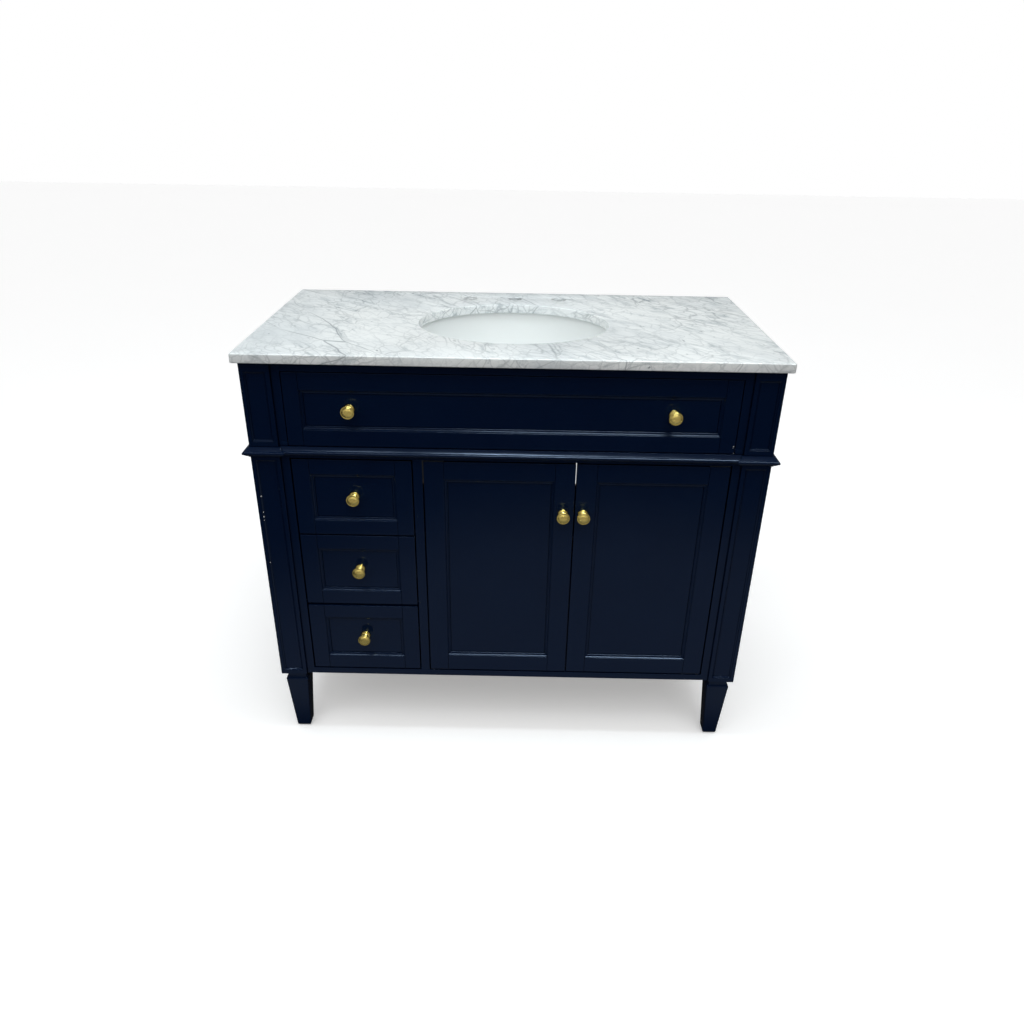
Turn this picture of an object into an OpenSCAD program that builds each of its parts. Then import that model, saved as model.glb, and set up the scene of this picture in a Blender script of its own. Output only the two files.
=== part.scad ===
// Freestanding single bathroom vanity: a painted face-frame cabinet with three
// drawers, two inset doors and a tip-out front, under a stone top with an
// undermount oval basin. Millimetres; X is to the right, Y to the wall, Z up.
// The origin is on the floor, under the middle of the overall box. The stone top and
// the door knobs, which stand out a little in front of it, bound the box from wall to front.

/* [Overall] */
// Width of the stone top
top_w = 1016; // [1010:1:1030]
// Depth of the stone top
top_d = 546; // [540:1:580]
// Height from the floor to the top of the stone
overall_h = 889; // [880:1:940]
// Thickness of the stone
top_t = 18; // [12:1:24]
// Height of the space under the cabinet
leg_h = 162; // [150:1:168]

/* [Cabinet] */
// Width over the corner posts
cabinet_w = 998; // [990:1:1004]
// How far the stone stands out in front of the posts
top_overhang = 15; // [12:1:25]
// Width of a square corner post
post_w = 56; // [50:1:60]
// How far the face frame sits back from the posts
frame_setback = 6; // [3:1:10]
// Thickness of frames, doors and drawer fronts
board_t = 20; // [18:1:22]
// Half width of the opening between the outer stiles
opening_half = 426.5; // [424:0.5:430]
// Height of the waist rail's lower edge above the floor
waist_z = 680; // [672:1:684]
// Height of the waist rail
waist_h = 22; // [20:1:24]

/* [Fronts] */
// Gap beside a door or drawer front
side_gap = 2.5; // [2:0.5:3]
// Gap above and below the doors and the tip-out front
end_gap = 3; // [2.5:0.5:3.5]
// Gap above the middle drawer front
upper_drawer_gap = 3; // [2:0.5:4]
// Gap below the middle drawer front
lower_drawer_gap = 4.5; // [2:0.5:5]
// Gap between the two doors
door_gap = 3.5; // [3:0.5:6]
// Depth of the field panels behind the frames
field_depth = 6; // [5:0.5:7]
// Diameter of a knob
knob_d = 26; // [24:1:30]
// How far a knob stands out of the surface it is on
knob_reach = 25; // [24:0.5:26]

/* [Basin] */
// Width of the oval cut-out in the stone
oval_w = 392; // [360:1:400]
// Depth of the oval cut-out in the stone
oval_d = 321; // [300:1:330]
// Distance from the stone's front edge to the middle of the oval
oval_from_front = 260; // [255:1:265]
// Inside depth of the basin below the stone
basin_depth = 144; // [130:1:150]
// Diameter of the tap holes
tap_hole_d = 32; // [28:1:35]

/* [Hidden] */
levels = ["upper", "middle", "lower"];
drawer_nodes = [for (l = levels) for (p = ["front", "box", "knob", "slides_inner", "slides_middle"])
    str(l, "_drawer_", p)];

navy = [0.04, 0.07, 0.14];
stone = [0.88, 0.9, 0.9];
china = [0.95, 0.96, 0.96];
brass = [0.72, 0.58, 0.25];
steel = [0.72, 0.73, 0.75];
birch = [0.82, 0.71, 0.54];
white_plastic = [0.9, 0.9, 0.88];
black_plastic = [0.05, 0.05, 0.05];

$fn = 48;

// Planes and levels
knobs_proud = max(0, knob_reach - top_overhang - frame_setback);
front_y = -(top_d - knobs_proud) / 2;
wall_y = front_y + top_d;
post_y = front_y + top_overhang;
face_y = post_y + frame_setback;
inner_y = face_y + board_t;
stone_z = overall_h - top_t;
outer_x = cabinet_w / 2;
post_x = outer_x - post_w;
side_x = outer_x - frame_setback;
front_post_back = post_y + post_w;
rear_post_front = wall_y - post_w;
back_panel_t = 9;
back_y = wall_y - back_panel_t;
top_rail_h = 19.5;
bottom_rail_h = 14.5;
rail_top_z = stone_z - top_rail_h;
floor_z = leg_h + bottom_rail_h;
center_stile_w = 18;
center_stile_x = -189.5;
panel_t = 15;
side_frame_t = 20;
back_rail_t = 18;
back_rail_h = 60;
stud_pitch = 406.4;
wall_screw_r = 2.5;
wall_screw_z = stone_z - back_rail_h / 2;

// Fronts, each as [left, right, bottom, top]
fronts_half = opening_half - side_gap;
tipout = [-fronts_half, fronts_half, waist_z + waist_h + end_gap, rail_top_z - side_gap];
low = floor_z + side_gap;
high = waist_z - end_gap;
drawer_right = center_stile_x - side_gap;
drawer_h = (high - low - upper_drawer_gap - lower_drawer_gap) / 3;
drawers = [
    [-fronts_half, drawer_right, high - drawer_h, high],
    [-fronts_half, drawer_right, low + drawer_h + lower_drawer_gap, low + 2 * drawer_h + lower_drawer_gap],
    [-fronts_half, drawer_right, low, low + drawer_h]];
doors_left = center_stile_x + center_stile_w + side_gap;
door_w = (fronts_half - doors_left - door_gap) / 2;
left_door = [doors_left, doors_left + door_w, low, high];
right_door = [fronts_half - door_w, fronts_half, low, high];
// Widths of the stiles and rails of each kind of front
tipout_members = [28.5, 33];
drawer_members = [33, 31.5];
door_members = [39, 38];
field_t = 8;
stick_w = 6.5;

// Knobs
tipout_knob_x = 304.5;
knob_rise = 2;
door_knob_z = 570;
left_knob_inset = 21;
right_knob_inset = 15.5;

// Pivots: a pin close behind the face of a front and close to its hinged edge
pin_r = 2;
pin_play = 0.05;
pin_inset = 6.5;
pin_behind = 4.5;
bushing_r = 4;
bushing_l = 12;
leaf_t = 1.2;
leaf_l = 40;
leaf_w = 13;
leaf_behind = 1.5;
pin_y = face_y + pin_behind;
tipout_pin_z = tipout[2] + pin_inset;

// Drawer boxes and their slides
slide_space = 13;
box_l = center_stile_x - slide_space;
box_x = [-opening_half + slide_space, box_l];
box_depth = 400;
box_h = 112;
box_rise = 16;
box_t = 12;
box_bottom_t = 6;
slide_len = 400;
slide_h = 44;

// Basin
oval_y = front_y + oval_from_front;
rim_r = oval_w / 2 + 3;
rim_squash = (oval_d / 2 + 3) / rim_r;
flange_r = rim_r + 22;
flange_t = 9;
drain_r = 22.5;
tap_y = wall_y - 64;
tap_pitch = 101.6;

// Feet
foot_w = 48;
foot_neck_w = 40;
foot_end_w = 30.5;
foot_in = 30.5;
glide_h = 2;

// ---- Shapes that repeat ----

// A box given by two opposite corners
module block(a, b) {
    translate(a) cube(b - a);
}

// Points of an arc about c, from angle a to angle b
function arc(c, r, a, b, n) =
    [for (i = [0:n]) let (t = a + (b - a) * i / n) c + r * [cos(t), sin(t)]];

// A profile of [reach, height] points that follows a path in plan.
// Each corner of the path has a vector that a reach of 1 moves it by, so the corners are mitred.
module mitred_run(path, miters, profile) {
    n = len(profile);
    m = len(path);
    points = [for (i = [0:m - 1]) for (p = profile)
        [path[i][0] + p[0] * miters[i][0], path[i][1] + p[0] * miters[i][1], p[1]]];
    sides = [for (i = [0:m - 2]) for (j = [0:n - 1])
        [i * n + j, i * n + (j + 1) % n, (i + 1) * n + (j + 1) % n, (i + 1) * n + j]];
    near = [for (j = [n - 1:-1:0]) j];
    far = [for (j = [0:n - 1]) (m - 1) * n + j];
    polyhedron(points, concat(sides, [near, far]), convexity = 6);
}

// Square sections [height, width] stacked on the Z axis
module square_stack(sections) {
    points = [for (s = sections) for (c = [[-1, -1], [1, -1], [1, 1], [-1, 1]])
        [c[0] * s[1] / 2, c[1] * s[1] / 2, s[0]]];
    m = len(sections);
    sides = [for (i = [0:m - 2]) for (j = [0:3])
        [i * 4 + j, (i + 1) * 4 + j, (i + 1) * 4 + (j + 1) % 4, i * 4 + (j + 1) % 4]];
    polyhedron(points, concat(sides, [[0, 1, 2, 3], [for (j = [3:-1:0]) (m - 1) * 4 + j]]));
}

// A cut into a face at y, through the opening o = [left, right, bottom, top] of that face.
// Each of the rings is [inset, depth], so the cut's edges follow the rings.
module molded_cut(o, rings, y) {
    points = [for (r = rings) for (c = [[0, 2], [1, 2], [1, 3], [0, 3]])
        [o[c[0]] + (c[0] == 0 ? 1 : -1) * r[0], y + r[1], o[c[1]] + (c[1] == 2 ? 1 : -1) * r[0]]];
    m = len(rings);
    sides = [for (i = [0:m - 2]) for (j = [0:3])
        [i * 4 + j, i * 4 + (j + 1) % 4, (i + 1) * 4 + (j + 1) % 4, (i + 1) * 4 + j]];
    polyhedron(points, concat(sides, [[3, 2, 1, 0], [for (j = [0:3]) (m - 1) * 4 + j]]));
}

// An ogee round a field panel: a step, a cove and a bead
sticking_rings = concat(
    [[0, -1], [0, 1], [1, 1]],
    arc([4.6, 0.6], 3.4, 155, 95, 4),
    arc([5, 4.9], 1.5, 280, 360, 4),
    [[stick_w, field_depth + 1]]);

// A bevelled edge round the shallow recesses of the posts
recess_rings = [[0, -1], [0, 0.8], [3, 3], [3, 4]];

// The opening inside the stiles and rails of a front
function opening(b, members) =
    [b[0] + members[0], b[1] - members[0], b[2] + members[1], b[3] - members[1]];

// A rabbeted opening for a field panel, in a board t thick with its face at y
module panel_opening(o, y, t) {
    molded_cut(o, sticking_rings, y);
    block([o[0], y + field_depth, o[2]], [o[1], y + t + 1, o[3]]);
}

// The glued-up stiles and rails of a front
module front_frame(b, members) {
    color(navy) difference() {
        block([b[0], face_y, b[2]], [b[1], face_y + board_t, b[3]]);
        panel_opening(opening(b, members), face_y, board_t);
    }
}

// The panel that fills the opening o behind a face at y
module field_panel(o, y) {
    color(navy) block([o[0], y + field_depth, o[2]], [o[1], y + field_depth + field_t, o[3]]);
}

// A turned knob on a surface at y, reaching forward: a collar, a neck and a domed head
module knob(x, y, z) {
    head_r = knob_d / 2;
    translate([x, y, z]) rotate([90, 0, 0]) rotate_extrude()
        polygon(concat(
            [[0, 0], [9.8, 0]],
            arc([8.6, 1.6], 1.2, 0, 80, 4),
            arc([10.4, 9.6], 5.6, 250, 115, 8),
            [[head_r - 2.9, 17.4], [head_r - 0.9, 19.4]],
            arc([head_r - 1.3, 20.8], 1.3, -30, 80, 4),
            [[head_r - 2.3, 22.4], [8, 24.1], [4, knob_reach - 0.2], [0, knob_reach]]));
}

// The outer shape is drawn for the left side and mirrored for the right
module at_side(right) {
    mirror([right ? 1 : 0, 0, 0]) children();
}

module at_rear(rear) {
    mirror([0, rear ? 1 : 0, 0]) children();
}

// ---- Stone top and basin ----

module countertop() {
    color(stone) difference() {
        block([-top_w / 2, front_y, stone_z], [top_w / 2, wall_y, overall_h]);
        translate([0, oval_y, stone_z - 1]) linear_extrude(top_t + 2)
            polygon([for (i = [0:95]) [oval_w / 2 * cos(i * 3.75), oval_d / 2 * sin(i * 3.75)]]);
        for (i = [-1:1])
            translate([i * tap_pitch, tap_y, stone_z - 1]) cylinder(h = top_t + 2, d = tap_hole_d);
    }
}

// Radius and height of the bowl's inner face at share t of the way to the drain
function bowl(t, r, h) = [r * pow(cos(90 * t), 0.62), -h * pow(sin(90 * t), 0.94)];

module basin() {
    wall = 9;
    inner = [for (i = [0:15]) bowl(i / 16, rim_r, basin_depth)];
    outer = [for (i = [15:-1:2]) bowl(i / 16, rim_r + wall, basin_depth + wall)];
    boss_r = 34;
    boss_h = 168;
    color(china) translate([0, oval_y, stone_z]) difference() {
        union() {
            scale([1, rim_squash, 1]) rotate_extrude($fn = 96)
                polygon(concat(inner, [[0, -basin_depth], [0, -basin_depth - wall]], outer,
                    [[rim_r + wall + 1, -flange_t - 6], [rim_r + wall + 4, -flange_t],
                     [flange_r, -flange_t], [flange_r, 0]]));
            translate([0, 0, -boss_h]) cylinder(h = boss_h - basin_depth - 4, r = boss_r);
        }
        translate([0, 0, -boss_h - 1]) cylinder(h = boss_h + 1, r = drain_r);
    }
}

// Clips screwed up into the stone that hold the basin's flange
module basin_clips() {
    clip_t = 3.8;
    clip_drop = flange_t + clip_t + 0.2;
    color(steel) for (a = [40, 140, 220, 320])
        translate([flange_r * cos(a), oval_y + flange_r * rim_squash * sin(a), stone_z])
            rotate([0, 0, atan2(rim_squash * sin(a), cos(a))]) {
                translate([7, -8, -clip_drop]) cube([14, 16, clip_drop]);
                translate([-6, -8, -clip_drop]) cube([13, 16, clip_t]);
            }
}

// ---- Posts and feet ----

// A front left post: both outer faces have an upper and a lower recess
module post() {
    margin = 8;
    recess_spans = [[leg_h + 11, waist_z - 4], [waist_z + waist_h + 12, stone_z - 20]];
    difference() {
        block([-outer_x, post_y, leg_h], [-post_x, front_post_back, stone_z]);
        for (z = recess_spans) {
            translate([-outer_x, post_y, 0])
                molded_cut([margin, post_w - margin, z[0], z[1]], recess_rings, 0);
            translate([-outer_x, front_post_back, 0]) rotate([0, 0, -90])
                molded_cut([margin, post_w - margin, z[0], z[1]], recess_rings, 0);
        }
    }
}

module corner_post(right, rear) {
    color(navy) translate([0, rear ? wall_y + post_y : 0, 0]) at_rear(rear) at_side(right) post();
}

module foot(right, rear) {
    x = (right ? 1 : -1) * (outer_x - foot_in);
    y = rear ? wall_y - foot_in : post_y + foot_in;
    color(navy) translate([x, y, 0])
        square_stack([[glide_h, foot_end_w - 7], [glide_h + 1, foot_end_w - 4],
            [glide_h + 3.5, foot_end_w - 1], [glide_h + 6, foot_end_w],
            [leg_h - 24, foot_w - 1], [leg_h - 20, foot_w], [leg_h - 17, foot_w - 1],
            [leg_h - 13, foot_neck_w], [leg_h, foot_neck_w]]);
}

module foot_glides() {
    color(black_plastic) for (x = [-1, 1]) for (y = [post_y + foot_in, wall_y - foot_in])
        translate([x * (outer_x - foot_in), y, 0]) {
            cylinder(h = 0.8, r1 = 8.2, r2 = 9);
            translate([0, 0, 0.8]) cylinder(h = glide_h - 0.8, r = 9);
        }
}

// ---- Face frame ----

module rail(z0, z1) {
    color(navy) block([-opening_half, face_y, z0], [opening_half, inner_y, z1]);
}

// Blind holes for the door pins' bushings, opening in the level z
module bushing_seats(z, up) {
    for (x = [left_door[0] + pin_inset, right_door[1] - pin_inset])
        translate([x, pin_y, z - (up ? 0 : bushing_l)]) cylinder(h = bushing_l, r = bushing_r);
}

module waist_rail() {
    difference() {
        rail(waist_z, waist_z + waist_h);
        bushing_seats(waist_z, true);
    }
}

module bottom_rail() {
    difference() {
        rail(leg_h, floor_z);
        bushing_seats(floor_z, false);
    }
}

module outer_stile(right) {
    color(navy) at_side(right) difference() {
        block([-post_x, face_y, leg_h], [-opening_half, inner_y, stone_z]);
        translate([-opening_half - bushing_l, pin_y, tipout_pin_z]) rotate([0, 90, 0])
            cylinder(h = bushing_l, r = bushing_r);
    }
}

module center_stile() {
    color(navy) block([center_stile_x, face_y, floor_z],
        [center_stile_x + center_stile_w, inner_y, waist_z]);
}

// ---- Waist molding ----

molding_z = waist_z + 4;
molding_profile = [for (p = concat(
    [[0, 20], [0, 0], [2.5, 0], [2.5, 1.6]],
    arc([2.5, 6.6], 5, 270, 325, 4),
    arc([8.6, 9.4], 3.4, -70, 75, 8),
    arc([9.6, 21.4], 8, 262, 196, 5),
    [[1.6, 20]])) [p[0], molding_z + p[1]]];

module waist_molding_front() {
    color(navy) mitred_run([[post_x, face_y], [-post_x, face_y]], [[-1, -1], [1, -1]],
        molding_profile);
}

// Round the front left post, along the side and round the rear post to the wall
module waist_molding_side(right) {
    path = [[-post_x, face_y], [-post_x, post_y], [-outer_x, post_y], [-outer_x, front_post_back],
        [-side_x, front_post_back], [-side_x, rear_post_front], [-outer_x, rear_post_front],
        [-outer_x, wall_y]];
    miters = [[1, -1], [1, -1], [-1, -1], [-1, 1], [-1, 1], [-1, -1], [-1, -1], [-1, 0]];
    color(navy) at_side(right) mitred_run(path, miters, molding_profile);
}

// ---- Sides, inner panels and back ----

// Rails between the posts, with a field panel in each of the two openings
module side(right) {
    upper = [waist_z + waist_h + 26, stone_z - 42];
    lower = [leg_h + 50, waist_z - 28];
    run = [-rear_post_front, -front_post_back];
    edge_w = 1;
    at_side(right) rotate([0, 0, -90]) {
        color(navy) difference() {
            block([run[0], -side_x, leg_h], [run[1], -side_x + side_frame_t, stone_z]);
            for (z = [lower, upper])
                panel_opening([run[0] + edge_w, run[1] - edge_w, z[0], z[1]], -side_x, side_frame_t);
        }
        for (z = [lower, upper])
            field_panel([run[0] + edge_w, run[1] - edge_w, z[0], z[1]], -side_x);
    }
}

module floor_panel() {
    side_in = side_x - side_frame_t;
    color(birch) {
        difference() {
            block([-side_in, inner_y, leg_h], [side_in, back_y, floor_z]);
            for (x = [-side_in - 1, post_x]) for (y = [[inner_y - 1, front_post_back], [rear_post_front, back_y + 1]])
                block([x, y[0], leg_h - 1], [x + side_in + 1 - post_x, y[1], floor_z + 1]);
        }
    }
}

module upright_panel(x) {
    color(birch) block([x, inner_y, floor_z], [x + panel_t, back_y, waist_z + 8]);
}

// The back is open behind the basin for the pipes
pipe_opening = [-160, 240, 390, 700];

// Holes for the screws into the wall's studs
module wall_screw_holes() {
    for (x = [-stud_pitch / 2, stud_pitch / 2])
        translate([x, back_y - back_rail_t - 1, wall_screw_z]) rotate([-90, 0, 0])
            cylinder(h = back_rail_t + back_panel_t + 2, r = wall_screw_r);
}

module back_panel() {
    color(birch) difference() {
        block([-post_x, back_y, leg_h], [post_x, wall_y, stone_z]);
        wall_screw_holes();
        block([pipe_opening[0], back_y - 1, pipe_opening[2]], [pipe_opening[1], wall_y + 1, pipe_opening[3]]);
    }
}

// Rails inside the back that take the wall screws
module back_rails() {
    front = back_y - back_rail_t;
    color(birch) {
        difference() {
            block([-post_x, front, stone_z - back_rail_h], [post_x, back_y, stone_z]);
            wall_screw_holes();
        }
        block([center_stile_x + panel_t + 1, front, floor_z], [post_x, back_y, floor_z + back_rail_h]);
    }
}

module corner_blocks() {
    leg = 90;
    block_t = 18;
    rear = back_y - back_rail_t;
    color(birch) for (right = [false, true]) at_side(right)
        translate([-post_x, 0, stone_z - block_t]) linear_extrude(block_t) {
            polygon([[0, inner_y], [leg, inner_y], [0, inner_y + leg]]);
            polygon([[0, rear - leg], [leg, rear], [0, rear]]);
        }
}

// ---- Drawers ----

// Height of the middle of drawer i's slides
function slide_z(i) = drawers[i][2] + box_rise + box_h / 2;

// Places a slide on each side of drawer i; its own x runs from the cabinet wall to the drawer box
module at_slides(i) {
    for (s = [0, 1])
        translate([s == 0 ? -opening_half : center_stile_x, inner_y + 2, slide_z(i)])
            mirror([s, 0, 0]) children();
}

// A channel with its web at x0, h high, with lips that reach to x1
module channel(x0, x1, h) {
    sheet_t = 1.4;
    block([x0, 0, -h / 2], [x0 + sheet_t, slide_len, h / 2]);
    for (z = [-h / 2, h / 2 - sheet_t])
        block([x0 + sheet_t, 0, z], [x1, slide_len, z + sheet_t]);
}

module drawer_slides_outer() {
    color(steel) for (i = [0:2]) at_slides(i) channel(0, 10, slide_h);
}

module slides_middle(i) {
    color(steel) at_slides(i) channel(4.5, 11, slide_h - 9);
}

// The inner member is screwed to the drawer box
module slides_inner(i) {
    color(steel) at_slides(i) translate([slide_space, 0, 0]) mirror([1, 0, 0])
        channel(0, 5, slide_h - 18);
}

module drawer_front(i) {
    front_frame(drawers[i], drawer_members);
    field_panel(opening(drawers[i], drawer_members), face_y);
}

// Two sides, a front and a back board and the bottom between them
module drawer_box(i) {
    z0 = drawers[i][2] + box_rise;
    z1 = z0 + box_h;
    y1 = inner_y + box_depth;
    in_x = [box_x[0] + box_t, box_x[1] - box_t];
    color(birch) {
        block([box_x[0], inner_y, z0], [in_x[0], y1, z1]);
        block([in_x[1], inner_y, z0], [box_x[1], y1, z1]);
        block([in_x[0], inner_y, z0], [in_x[1], inner_y + box_t, z1]);
        block([in_x[0], y1 - box_t, z0], [in_x[1], y1, z1]);
        block([in_x[0], inner_y + box_t, z0 + 8], [in_x[1], y1 - box_t, z0 + 8 + box_bottom_t]);
    }
}

function middle(a, b) = (a + b) / 2;

module drawer_knob(i) {
    b = drawers[i];
    color(brass) knob(middle(b[0], b[1]), face_y + field_depth, middle(b[2], b[3]) + knob_rise);
}

module drawer_part(i, part) {
    if (part == "front") drawer_front(i);
    if (part == "box") drawer_box(i);
    if (part == "knob") drawer_knob(i);
    if (part == "slides_inner") slides_inner(i);
    if (part == "slides_middle") slides_middle(i);
}

// ---- Tip-out front ----

module tipout_knobs() {
    for (x = [-tipout_knob_x, tipout_knob_x])
        color(brass) knob(x, face_y + field_depth, middle(tipout[2], tipout[3]) + knob_rise);
}

// An open tray on the back of the tip-out front
module tipout_tray() {
    half = 300;
    depth = 36;
    wall = 2;
    z0 = tipout[2] + 11;
    z1 = z0 + 60;
    color(white_plastic) difference() {
        union() {
            block([-half, inner_y, z0], [half, inner_y + depth, z1]);
            block([-half, inner_y, z1], [half, inner_y + wall, tipout[3] - 11]);
        }
        block([-half + wall, inner_y + wall, z0 + wall], [half - wall, inner_y + depth - wall, z1 + 1]);
    }
}

// Plates on the ends of the tip-out front, with the pins that it turns on
module tipout_pivots() {
    color(steel) for (right = [false, true]) at_side(right) {
        block([tipout[0] - leaf_t, face_y + leaf_behind, tipout[2] + 1],
            [tipout[0], face_y + leaf_behind + leaf_w, tipout[2] + 1 + leaf_l]);
        translate([-opening_half - bushing_l + 1, pin_y, tipout_pin_z]) rotate([0, 90, 0])
            cylinder(h = bushing_l - 1 + side_gap - leaf_t, r = pin_r);
    }
}

// ---- Doors ----

module door_pivots(b, edge, inward) {
    x = edge + inward * pin_inset;
    far = edge + inward * leaf_l;
    y0 = face_y + leaf_behind;
    color(steel) {
        for (z = [b[2] - leaf_t, b[3]])
            block([min(edge + inward, far), y0, z], [max(edge + inward, far), y0 + leaf_w, z + leaf_t]);
        translate([x, pin_y, b[3] + leaf_t])
            cylinder(h = end_gap - leaf_t + bushing_l - 1, r = pin_r);
        translate([x, pin_y, floor_z - bushing_l + 1])
            cylinder(h = bushing_l - 1 + side_gap - leaf_t, r = pin_r);
    }
}

// Flanged nylon-lined tubes in which the pins turn
module bushing() {
    difference() {
        cylinder(h = bushing_l, r = bushing_r);
        translate([0, 0, -1]) cylinder(h = bushing_l + 2, r = pin_r + pin_play);
    }
}

module pivot_bushings() {
    color(steel) {
        for (x = [left_door[0] + pin_inset, right_door[1] - pin_inset])
            for (z = [floor_z - bushing_l, waist_z])
                translate([x, pin_y, z]) bushing();
        for (x = [-opening_half - bushing_l, opening_half])
            translate([x, pin_y, tipout_pin_z]) rotate([0, 90, 0]) bushing();
    }
}

// A magnetic catch for each door, behind the waist rail and either side of the gap between the doors
module door_catch() {
    x = middle(left_door[1], right_door[0]);
    play = 1.8;
    color(white_plastic) for (x0 = [x - 42, x + 14]) {
        block([x0, inner_y, waist_z], [x0 + 28, inner_y + 18, waist_z + 18]);
        block([x0, inner_y + play, waist_z - 20], [x0 + 28, inner_y + 18, waist_z]);
    }
}

// ---- Nodes ----

countertop();
basin();
basin_clips();
for (right = [false, true]) for (rear = [false, true]) {
    name = str(rear ? "rear_" : "front_", right ? "right_" : "left_");
    corner_post(right, rear);
    foot(right, rear);
}
foot_glides();
rail(rail_top_z, stone_z);  // top_rail
waist_rail();
bottom_rail();
outer_stile(false);  // left_stile
outer_stile(true);  // right_stile
center_stile();
waist_molding_front();
waist_molding_side(false);  // waist_molding_left
waist_molding_side(true);  // waist_molding_right
side(false);  // left_side
side(true);  // right_side
floor_panel();
upright_panel(-opening_half - panel_t);  // drawer_liner
upright_panel(center_stile_x);  // divider_panel
back_panel();
back_rails();
corner_blocks();
drawer_slides_outer();
door_catch();
pivot_bushings();
front_frame(tipout, tipout_members);  // tipout_frame
field_panel(opening(tipout, tipout_members), face_y);  // tipout_panel
tipout_knobs();
tipout_tray();
tipout_pivots();
front_frame(left_door, door_members);  // left_door_frame
field_panel(opening(left_door, door_members), face_y);  // left_door_panel
color(brass) knob(left_door[1] - left_knob_inset, face_y, door_knob_z);  // left_door_knob
door_pivots(left_door, left_door[0], 1);  // left_door_pivots
front_frame(right_door, door_members);  // right_door_frame
field_panel(opening(right_door, door_members), face_y);  // right_door_panel
color(brass) knob(right_door[0] + right_knob_inset, face_y, door_knob_z);  // right_door_knob
door_pivots(right_door, right_door[1], -1);  // right_door_pivots
for (i = [0:2]) for (part = ["front", "box", "knob", "slides_inner", "slides_middle"])
    drawer_part(i, part);
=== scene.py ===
"""The looks of a freestanding bathroom vanity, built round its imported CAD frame."""

import math

import bmesh
import bpy
from mathutils import Matrix, Vector


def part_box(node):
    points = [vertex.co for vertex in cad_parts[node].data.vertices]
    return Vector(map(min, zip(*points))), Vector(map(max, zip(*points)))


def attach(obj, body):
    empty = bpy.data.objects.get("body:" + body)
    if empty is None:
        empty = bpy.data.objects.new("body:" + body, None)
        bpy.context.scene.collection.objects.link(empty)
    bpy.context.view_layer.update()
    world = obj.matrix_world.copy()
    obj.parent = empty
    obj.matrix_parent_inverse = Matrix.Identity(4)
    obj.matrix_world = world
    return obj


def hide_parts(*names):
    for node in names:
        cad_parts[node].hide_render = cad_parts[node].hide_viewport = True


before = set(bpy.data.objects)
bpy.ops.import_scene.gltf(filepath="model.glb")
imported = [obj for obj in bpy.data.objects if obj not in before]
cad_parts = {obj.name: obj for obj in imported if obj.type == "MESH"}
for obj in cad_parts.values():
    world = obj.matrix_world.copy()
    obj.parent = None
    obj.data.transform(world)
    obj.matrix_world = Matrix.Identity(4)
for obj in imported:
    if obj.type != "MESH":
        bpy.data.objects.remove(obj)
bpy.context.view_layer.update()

MM = 0.001
LEVELS = ("upper", "middle", "lower")
SIDES = ("left", "right")

# Joinery of the fronts and sides
FIELD_DEPTH = 6 * MM
FIELD_THICKNESS = 8 * MM
DRAWER_STILE = 33 * MM
DRAWER_RAIL = 31.5 * MM
JOINT_BEVEL = 1.15 * MM
MOLDED_BEVEL = 0.12 * MM
SIDE_BOTTOM_RAIL = 50 * MM
SIDE_BELOW_WAIST = 28 * MM
SIDE_ABOVE_WAIST = 26 * MM
SIDE_TOP_RAIL = 42 * MM

# The fronts' gaps are uneven: some are narrower than their nodes leave, and one is wider
NARROWED = 1.2 * MM
WIDENED = -1.2 * MM

# Stone and basin
ARRIS = 2.2 * MM
CUTOUT_ARRIS = 1.2 * MM
TAP_ARRIS = 0.5 * MM
CUTOUT_HALF = (196 * MM, 160.5 * MM)
CUTOUT_FROM_FRONT = 260 * MM
TAP_RADIUS = 16 * MM
TAP_PITCH = 101.6 * MM
TAP_FROM_WALL = 64 * MM
BASIN_RIM = 203 * MM
BASIN_SQUASH = 163.5 / 199
BASIN_DEPTH = 144 * MM
BASIN_WALL = 6.5 * MM
FLANGE_RADIUS = 221 * MM
FLANGE_THICKNESS = 9 * MM
DRAIN_RADIUS = 22.5 * MM
DRAIN_BOSS = 34 * MM

# Knobs, feet and drawer boxes
KNOB_RADIUS = 13 * MM
KNOB_REACH = 25 * MM
FOOT_NECK = 40 * MM
FOOT_SHOULDER = 48 * MM
FOOT_END = 30.5 * MM
BOX_WALL = 12 * MM
BOX_BOTTOM = (8 * MM, 14 * MM)
TAILS = 4

# Camera, in metres, degrees and millimetres of lens
CAMERA_BEFORE_STONE = 1.4006
CAMERA_ASIDE = 0.0089
CAMERA_HEIGHT = 1.3022
CAMERA_PITCH = -27.2
CAMERA_YAW = -0.2
CAMERA_ROLL = 1.0
LENS = 28.32


# ---- Node graphs ----


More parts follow.
